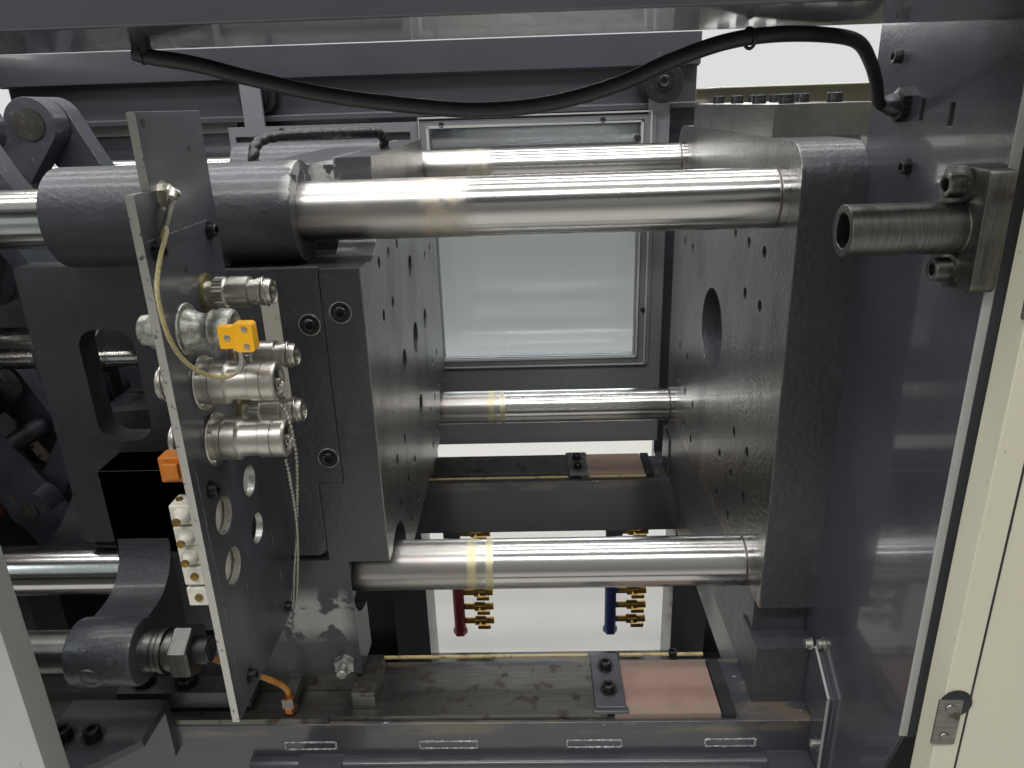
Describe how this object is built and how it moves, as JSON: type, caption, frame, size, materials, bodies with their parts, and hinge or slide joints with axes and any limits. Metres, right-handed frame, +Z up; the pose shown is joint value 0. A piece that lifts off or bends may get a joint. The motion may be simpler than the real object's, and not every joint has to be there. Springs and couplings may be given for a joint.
{
  "type": "injection moulding machine",
  "caption": "Horizontal injection moulding machine with a double toggle clamp, four tie bars, sliding guards and a screw injection unit.",
  "frame": {"origin": "centre of the locating bore on the fixed platen's mould face", "axes": "+X along the tie bars towards the injection unit, +Y away from the operator, +Z up"},
  "size_m": [4.41, 1.427, 1.91],
  "materials": {
    "casting_paint": "glossy dark grey-blue paint on rough cast iron",
    "frame_paint": "dark grey-blue paint on welded steel",
    "bulkhead_paint": "glossy dark grey powder coat",
    "link_paint": "machined and painted castings",
    "cover_paint": "cream powder coat",
    "door_paint": "light grey powder coat",
    "window": "clear polycarbonate",
    "chrome_bar": "hard chromed and ground",
    "dark_steel": "blackened steel",
    "ground_steel": "ground steel, lightly oiled",
    "chain_steel": "oiled chain with light rust",
    "sprocket_steel": "cut steel",
    "motor_paint": "matt black motor paint",
    "shoe_bronze": "bronze faced sliding shoes",
    "nickel": "nickel plated couplings",
    "bead_metal": "nickel plated bead chain",
    "lead_jacket": "woven glass fibre jacket",
    "black_jacket": "black cable jacket",
    "grease_line": "amber nylon tube",
    "roller_rubber": "black nylon rollers",
    "brass": "brass manifold and valves",
    "carriage_paint": "grey paint, steel barrel",
    "red_button": "red mushroom button"
  },
  "bodies": {
    "machine": {"bed_frame": "frame_paint", "leveling_feet": "dark_steel", "slide_rails": "ground_steel", "rail_clamps": "dark_steel", "fixed_platen": "casting_paint", "robot_mount_plate": "ground_steel", "machine_bolts": "dark_steel", "tie_bars": "chrome_bar", "tie_bar_nuts": "dark_steel", "bulkhead_plate": "bulkhead_paint", "guide_tube": "ground_steel", "front_top_beam": "frame_paint", "rear_top_rail": "frame_paint", "door_cable": "black_jacket", "injection_covers": "cover_paint", "clamp_end_cover": "cover_paint", "control_panel": "cover_paint", "water_manifold": "brass"},
    "rear_platen": {"rear_platen": "casting_paint", "adjust_chain": "chain_steel", "platen_motors": "motor_paint", "rear_pins": "chrome_bar"},
    "adjust_nut_1": {"adjust_nut_1": "sprocket_steel"},
    "adjust_nut_2": {"adjust_nut_2": "sprocket_steel"},
    "adjust_nut_3": {"adjust_nut_3": "sprocket_steel"},
    "adjust_nut_4": {"adjust_nut_4": "sprocket_steel"},
    "upper_rear_link": {"upper_rear_link": "link_paint", "upper_pins": "chrome_bar"},
    "upper_front_link": {"upper_front_link": "link_paint"},
    "upper_drive_link": {"upper_drive_link": "link_paint"},
    "lower_rear_link": {"lower_rear_link": "link_paint", "lower_pins": "chrome_bar"},
    "lower_front_link": {"lower_front_link": "link_paint"},
    "lower_drive_link": {"lower_drive_link": "link_paint"},
    "crosshead": {"crosshead": "link_paint"},
    "clamp_screw": {"clamp_screw": "chrome_bar"},
    "moving_platen": {"moving_platen": "casting_paint", "platen_shoes": "shoe_bronze", "platen_side_plate": "frame_paint", "platen_bolts": "dark_steel", "connector_bracket": "frame_paint", "bracket_connectors": "nickel", "ball_chains": "bead_metal", "sensor_lead": "lead_jacket", "safety_arm": "casting_paint", "safety_rod": "dark_steel", "top_hose": "black_jacket", "grease_hose": "grease_line", "ejector_drive": "motor_paint", "front_pins": "chrome_bar"},
    "ejector": {"ejector_plate": "ground_steel"},
    "front_door": {"front_door": "door_paint", "front_window": "window"},
    "rear_door": {"rear_door": "door_paint", "rear_window": "window"},
    "rear_roller_1": {"rear_roller_1": "roller_rubber"},
    "rear_roller_2": {"rear_roller_2": "roller_rubber"},
    "injection_carriage": {"injection_carriage": "carriage_paint"},
    "plasticising_screw": {"plasticising_screw": "ground_steel"},
    "stop_button": {"stop_button": "red_button"}
  },
  "joints": [
    {"name": "mould_height_slide", "type": "slide", "parent": "machine", "child": "rear_platen", "axis": [1, 0, 0], "range_m": [-0.1, 0]},
    {"name": "clamp_hinge", "type": "hinge", "parent": "rear_platen", "child": "upper_rear_link", "pos_m": [-1.25855, 0, 0.09], "axis": [0, 1, 0], "range_deg": [0, 55]},
    {"name": "upper_knee", "type": "hinge", "parent": "upper_rear_link", "child": "upper_front_link", "pos_m": [-1.09427, 0, 0.35289], "axis": [0, 1, 0], "range_deg": [-110, 0]},
    {"name": "platen_hinge", "type": "hinge", "parent": "upper_front_link", "child": "moving_platen", "pos_m": [-0.93, 0, 0.09], "axis": [0, 1, 0], "range_deg": [0, 55]},
    {"name": "upper_drive_hinge", "type": "hinge", "parent": "upper_rear_link", "child": "upper_drive_link", "pos_m": [-1.15257, 0, 0.25961], "axis": [0, 1, 0], "range_deg": [-110, 0]},
    {"name": "crosshead_hinge", "type": "hinge", "parent": "upper_drive_link", "child": "crosshead", "pos_m": [-1.04658, 0, 0.09], "axis": [0, 1, 0], "range_deg": [0, 55]},
    {"name": "lower_clamp_hinge", "type": "hinge", "parent": "rear_platen", "child": "lower_rear_link", "pos_m": [-1.25855, 0, -0.09], "axis": [0, 1, 0], "range_deg": [-55, 0]},
    {"name": "lower_knee", "type": "hinge", "parent": "lower_rear_link", "child": "lower_front_link", "pos_m": [-1.09427, 0, -0.35289], "axis": [0, 1, 0], "range_deg": [0, 110]},
    {"name": "lower_drive_hinge", "type": "hinge", "parent": "lower_rear_link", "child": "lower_drive_link", "pos_m": [-1.15257, 0, -0.25961], "axis": [0, 1, 0], "range_deg": [0, 110]},
    {"name": "clamp_screw_spin", "type": "hinge", "parent": "rear_platen", "child": "clamp_screw", "pos_m": [-1.4, 0, 0], "axis": [1, 0, 0], "range_deg": [0, 2710]},
    {"name": "nut_1_spin", "type": "hinge", "parent": "rear_platen", "child": "adjust_nut_1", "pos_m": [-1.4, -0.293, 0.248], "axis": [1, 0, 0], "range_deg": [-6010, 10]},
    {"name": "nut_2_spin", "type": "hinge", "parent": "rear_platen", "child": "adjust_nut_2", "pos_m": [-1.4, 0.293, 0.248], "axis": [1, 0, 0], "range_deg": [-6010, 10]},
    {"name": "nut_3_spin", "type": "hinge", "parent": "rear_platen", "child": "adjust_nut_3", "pos_m": [-1.4, -0.293, -0.248], "axis": [1, 0, 0], "range_deg": [-6010, 10]},
    {"name": "nut_4_spin", "type": "hinge", "parent": "rear_platen", "child": "adjust_nut_4", "pos_m": [-1.4, 0.293, -0.248], "axis": [1, 0, 0], "range_deg": [-6010, 10]},
    {"name": "ejector_slide", "type": "slide", "parent": "moving_platen", "child": "ejector", "axis": [1, 0, 0], "range_m": [0, 0.085]},
    {"name": "front_door_slide", "type": "slide", "parent": "machine", "child": "front_door", "axis": [1, 0, 0], "range_m": [0, 0.85]},
    {"name": "rear_door_slide", "type": "slide", "parent": "machine", "child": "rear_door", "axis": [1, 0, 0], "range_m": [-0.55, 0]},
    {"name": "roller_1_spin", "type": "hinge", "parent": "rear_door", "child": "rear_roller_1", "pos_m": [-0.013, 0.56, 0.3938], "axis": [0, 1, 0], "range_deg": [-770, 10]},
    {"name": "roller_2_spin", "type": "hinge", "parent": "rear_door", "child": "rear_roller_2", "pos_m": [-0.89, 0.56, 0.3938], "axis": [0, 1, 0], "range_deg": [-770, 10]},
    {"name": "carriage_slide", "type": "slide", "parent": "machine", "child": "injection_carriage", "axis": [1, 0, 0], "range_m": [0, 0.25]},
    {"name": "screw_slide", "type": "slide", "parent": "injection_carriage", "child": "plasticising_screw", "axis": [1, 0, 0], "range_m": [0, 0.1]},
    {"name": "stop_press", "type": "slide", "parent": "machine", "child": "stop_button", "axis": [0, 1, 0], "range_m": [0, 0.005], "stiffness_N_per_m": 400, "springref_m": -0.004}
  ],
  "couplings": [
    {"joint": "upper_knee", "follows": "clamp_hinge", "ratio": -2},
    {"joint": "platen_hinge", "follows": "clamp_hinge", "ratio": 1},
    {"joint": "upper_drive_hinge", "follows": "clamp_hinge", "ratio": -2},
    {"joint": "crosshead_hinge", "follows": "clamp_hinge", "ratio": 1},
    {"joint": "lower_clamp_hinge", "follows": "clamp_hinge", "ratio": -1},
    {"joint": "lower_knee", "follows": "clamp_hinge", "ratio": 2},
    {"joint": "lower_drive_hinge", "follows": "clamp_hinge", "ratio": 2},
    {"joint": "clamp_screw_spin", "follows": "clamp_hinge", "ratio": 49.087},
    {"joint": "nut_1_spin", "follows": "mould_height_slide", "rad_per_m": 1047.2},
    {"joint": "nut_2_spin", "follows": "mould_height_slide", "rad_per_m": 1047.2},
    {"joint": "nut_3_spin", "follows": "mould_height_slide", "rad_per_m": 1047.2},
    {"joint": "nut_4_spin", "follows": "mould_height_slide", "rad_per_m": 1047.2},
    {"joint": "roller_1_spin", "follows": "rear_door_slide", "rad_per_m": 24.096},
    {"joint": "roller_2_spin", "follows": "rear_door_slide", "rad_per_m": 24.096}
  ]
}
